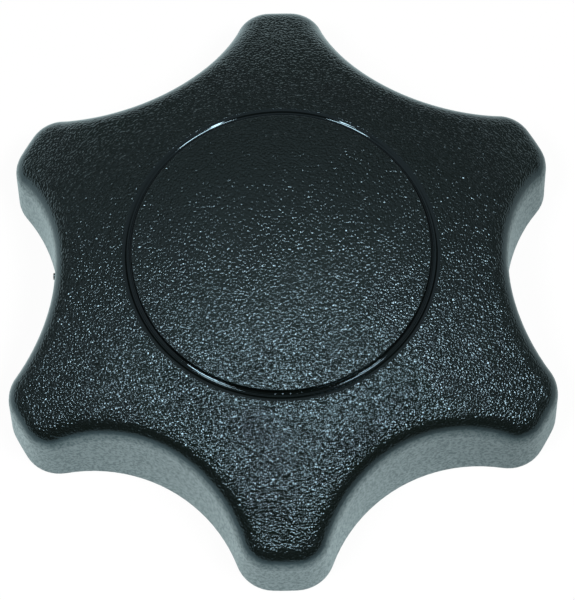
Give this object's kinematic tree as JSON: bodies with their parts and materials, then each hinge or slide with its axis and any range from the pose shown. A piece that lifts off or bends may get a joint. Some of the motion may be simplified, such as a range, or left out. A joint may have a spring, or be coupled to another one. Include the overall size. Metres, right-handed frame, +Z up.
{
  "type": "fuel filler cap",
  "caption": "Black screw-on fuel filler cap: lobed domed grip with a ringed centre disc, ratchet drive, internal neck thread, gasket and two-way vent valve.",
  "frame": {"origin": "centre of the handle's bottom rim, in the plane the cap stands on", "axes": "+Z up along the cap's turning axis, out of the tank; +Y through one lobe's tip, +X through a valley"},
  "size_m": [0.081, 0.09, 0.0236],
  "materials": {
    "handle_shell": "fine spark-eroded grain",
    "centre_disc": "fine spark-eroded grain",
    "ratchet_ring": "natural acetal",
    "closure_body": "smooth moulded",
    "neck_gasket": "nitrile rubber",
    "spring_washer": "spring steel",
    "thrust_washer": "white nylon",
    "retaining_clip": "phosphated spring steel",
    "valve_housing": "natural acetal",
    "housing_o_ring": "fluoro rubber",
    "pressure_seal": "fluoro rubber",
    "pressure_plate": "pressed stainless steel",
    "pressure_spring": "stainless wire",
    "spring_cap": "natural acetal",
    "vacuum_poppet": "natural acetal",
    "vacuum_spring": "stainless wire",
    "vacuum_clip": "stainless steel",
    "vent_filter": "open-cell foam",
    "splash_guard": "natural acetal",
    "guard_screws": "zinc-plated steel"
  },
  "bodies": {
    "closure": {"closure_body": "closure_body", "neck_gasket": "neck_gasket", "spring_washer": "spring_washer", "thrust_washer": "thrust_washer", "retaining_clip": "retaining_clip", "valve_housing": "valve_housing", "housing_o_ring": "housing_o_ring", "spring_cap": "spring_cap", "pressure_spring": "pressure_spring", "vent_filter": "vent_filter", "splash_guard": "splash_guard", "guard_screws": "guard_screws"},
    "handle": {"handle_shell": "handle_shell", "centre_disc": "centre_disc", "ratchet_ring": "ratchet_ring"},
    "pressure_valve": {"pressure_plate": "pressure_plate", "pressure_seal": "pressure_seal", "vacuum_spring": "vacuum_spring"},
    "vacuum_valve": {"vacuum_poppet": "vacuum_poppet", "vacuum_clip": "vacuum_clip"}
  },
  "joints": [
    {"name": "handle_turn", "type": "hinge", "parent": "closure", "child": "handle", "pos_m": [0, 0, 0], "axis": [0, 0, 1], "continuous": true},
    {"name": "pressure_lift", "type": "slide", "parent": "closure", "child": "pressure_valve", "axis": [0, 0, 1], "range_m": [0, 0.002], "stiffness_N_per_m": 900, "springref_m": -0.003, "deforming": ["pressure_spring"]},
    {"name": "vacuum_draw", "type": "slide", "parent": "pressure_valve", "child": "vacuum_valve", "axis": [0, 0, -1], "range_m": [0, 0.0012], "stiffness_N_per_m": 80, "springref_m": -0.001, "deforming": ["vacuum_spring"]}
  ]
}
